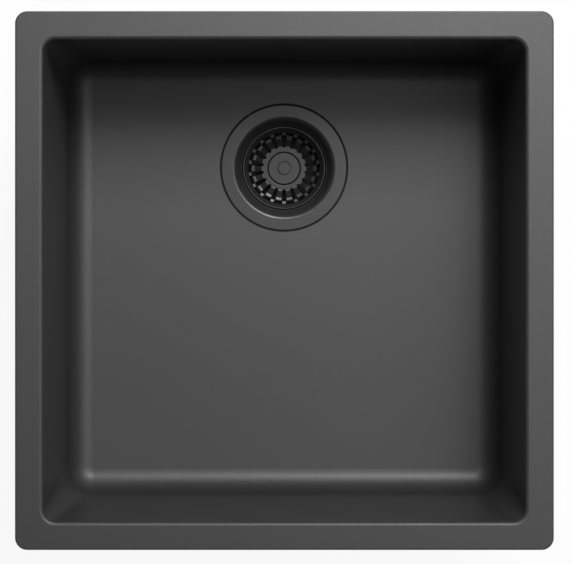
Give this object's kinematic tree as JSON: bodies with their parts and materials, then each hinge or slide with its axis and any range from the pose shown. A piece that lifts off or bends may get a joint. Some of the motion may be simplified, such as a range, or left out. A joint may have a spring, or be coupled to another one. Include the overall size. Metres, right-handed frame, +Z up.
{
  "type": "kitchen sink",
  "caption": "Square single-bowl kitchen sink in dark composite, with a flat rim, near-upright walls, rounded floor edges and a basket strainer waste whose perforated basket lifts out.",
  "frame": {"origin": "centre of the bowl opening, in the plane of the underside of the rim, where the sink rests on a worktop", "axes": "+Z up out of the bowl, +Y towards the back, where the waste is, +X to the right seen from the front"},
  "size_m": [0.44, 0.44, 0.2858],
  "materials": {
    "composite": "satin, fine grained moulded quartz composite",
    "coated_steel": "satin dark grey coating on pressed steel",
    "plain_steel": "bright stainless",
    "insert_brass": "machined",
    "body_plastic": "moulded polypropylene",
    "stopper_plastic": "moulded acetal",
    "seal_rubber": "matt moulded rubber"
  },
  "bodies": {
    "sink": {"sink_bowl": "composite", "flange_seal": "seal_rubber", "waste_cup": "coated_steel", "body_gasket": "seal_rubber", "waste_body": "body_plastic", "outlet_funnel": "body_plastic", "insert_bridge": "body_plastic", "thread_insert": "insert_brass", "clamp_washer": "plain_steel", "clamp_screw": "plain_steel"},
    "basket": {"strainer_basket": "coated_steel", "stem_washer": "coated_steel", "basket_knob": "coated_steel", "knob_cap": "coated_steel", "stem_screw": "plain_steel", "stopper_plate": "stopper_plastic", "stopper_seal": "seal_rubber", "catch_sleeve": "stopper_plastic", "catch_ring": "plain_steel", "stem_nut": "insert_brass"}
  },
  "joints": [
    {"name": "basket_lift", "type": "slide", "parent": "sink", "child": "basket", "axis": [0, 0, 1], "range_m": [0, 0.26]}
  ]
}
